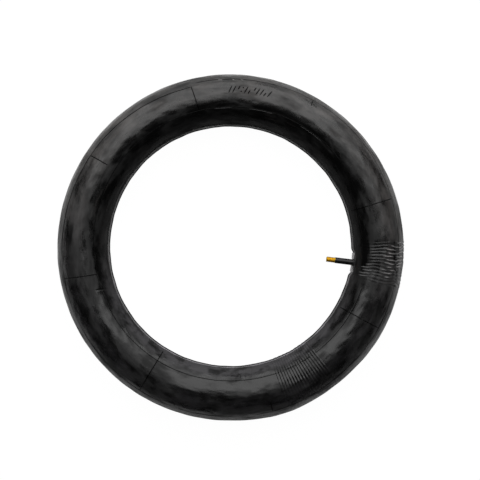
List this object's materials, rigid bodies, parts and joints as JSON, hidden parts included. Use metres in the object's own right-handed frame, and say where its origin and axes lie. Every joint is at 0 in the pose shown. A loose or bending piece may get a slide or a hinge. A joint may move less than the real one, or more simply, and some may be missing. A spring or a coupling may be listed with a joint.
{
  "type": "inner tube",
  "caption": "Fat-bike inner tube lying flat and lightly inflated, a hollow butyl ring with a straight rubber-covered Schrader valve on its inner side, its brass thread bare and its core fitted.",
  "frame": {"origin": "centre of the ring, half way through its thickness", "axes": "+Z along the ring's axis, up from the face it lies on; the valve is on the +X side of the ring and its mouth points along -X"},
  "size_m": [0.5, 0.5, 0.076],
  "materials": {
    "tube_rubber": "matt moulded butyl rubber with a faint talc bloom",
    "patch_rubber": "matt moulded rubber",
    "stem_rubber": "smooth glossy moulded rubber",
    "stem_brass": "bare turned brass, slightly tarnished",
    "core_brass": "bare turned brass",
    "seal_rubber": "smooth sealing rubber",
    "spring_steel": "drawn spring wire"
  },
  "bodies": {
    "tube": {"tube_body": "tube_rubber", "valve_patch": "patch_rubber", "valve_stem_rubber": "stem_rubber", "valve_stem_brass": "stem_brass"},
    "core_carriage": {"core_barrel": "core_brass", "core_seal": "seal_rubber", "core_spring": "spring_steel"},
    "swivel": {"core_plug": "core_brass"},
    "plunger": {"core_pin": "core_brass", "plunger_cup": "core_brass", "plunger_seal": "seal_rubber"}
  },
  "joints": [
    {"name": "core_withdraw", "type": "slide", "parent": "tube", "child": "core_carriage", "axis": [-1, 0, 0], "range_m": [0, 0.00423]},
    {"name": "core_unscrew", "type": "hinge", "parent": "core_carriage", "child": "swivel", "pos_m": [0.14305, 0, 0], "axis": [-1, 0, 0], "range_deg": [0, 2161]},
    {"name": "pin_press", "type": "slide", "parent": "core_carriage", "child": "plunger", "axis": [1, 0, 0], "range_m": [0, 0.0015], "stiffness_N_per_m": 600, "deforming": ["core_spring"]}
  ],
  "couplings": [
    {"joint": "core_unscrew", "follows": "core_withdraw", "rad_per_m": 8904.7}
  ]
}
